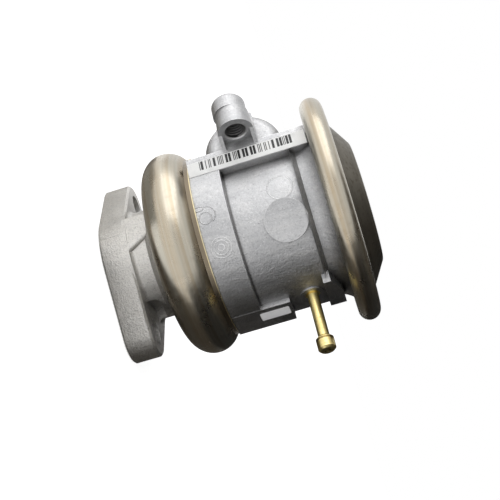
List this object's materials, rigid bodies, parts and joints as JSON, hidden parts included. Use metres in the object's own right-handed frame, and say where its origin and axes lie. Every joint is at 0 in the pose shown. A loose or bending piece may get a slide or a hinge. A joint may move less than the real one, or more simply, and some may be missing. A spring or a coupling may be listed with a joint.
{
  "type": "vacuum operated air shut-off valve",
  "caption": "Cast aluminium air valve with crimped steel rings: a diaphragm driven poppet, a non-return disc, a two-bolt outlet flange, a hose spigot and a brass vacuum nipple.",
  "frame": {"origin": "centre of the outlet bore on the gasket face of the two-bolt flange", "axes": "+Z along the valve from the flange to the pressed cap, +X along the vacuum nipple, -Y is the label side, +Y the way the inlet spigot points"},
  "size_m": [0.0882, 0.0805, 0.0882],
  "materials": {
    "cast_aluminium": "as cast, satin",
    "ring_steel": "rolled, polished",
    "cap_steel": "passivated, satin",
    "brass": "turned",
    "label_paper": "matt",
    "rubber": "matt",
    "bright_steel": "zinc plated",
    "seat_aluminium": "machined",
    "spring_steel": "oiled",
    "bronze": "sintered"
  },
  "bodies": {
    "housing": {"outlet_housing": "cast_aluminium", "valve_body": "cast_aluminium", "front_clamp_ring": "ring_steel", "rear_clamp_ring": "ring_steel", "diaphragm_cap": "cap_steel", "vacuum_nipple": "brass", "barcode_label": "label_paper", "joint_seal": "rubber", "check_seat_plate": "seat_aluminium", "check_guide_pin": "bright_steel", "check_spring": "spring_steel", "check_spring_cup": "bright_steel", "check_pin_clip": "bright_steel", "stem_guide_bush": "bronze", "stem_lip_seal": "rubber", "seal_cover": "bright_steel", "spring_cup": "bright_steel", "return_spring": "spring_steel", "diaphragm": "rubber"},
    "poppet": {"valve_stem": "bright_steel", "valve_disc": "bright_steel", "valve_disc_seal": "rubber", "valve_disc_washer": "bright_steel", "valve_disc_nut": "bright_steel", "lower_diaphragm_plate": "bright_steel", "upper_diaphragm_plate": "bright_steel", "diaphragm_washer": "bright_steel", "diaphragm_nut": "bright_steel"},
    "check_plate": {"check_disc": "bright_steel", "check_disc_facing": "rubber"}
  },
  "joints": [
    {"name": "valve_stroke", "type": "slide", "parent": "housing", "child": "poppet", "axis": [0, 0, -1], "range_m": [0, 0.005], "stiffness_N_per_m": 3000, "springref_m": -0.004, "deforming": ["return_spring", "diaphragm"]},
    {"name": "check_disc_lift", "type": "slide", "parent": "housing", "child": "check_plate", "axis": [0, 0, -1], "range_m": [0, 0.004], "stiffness_N_per_m": 100, "springref_m": -0.004, "deforming": ["check_spring"]}
  ]
}
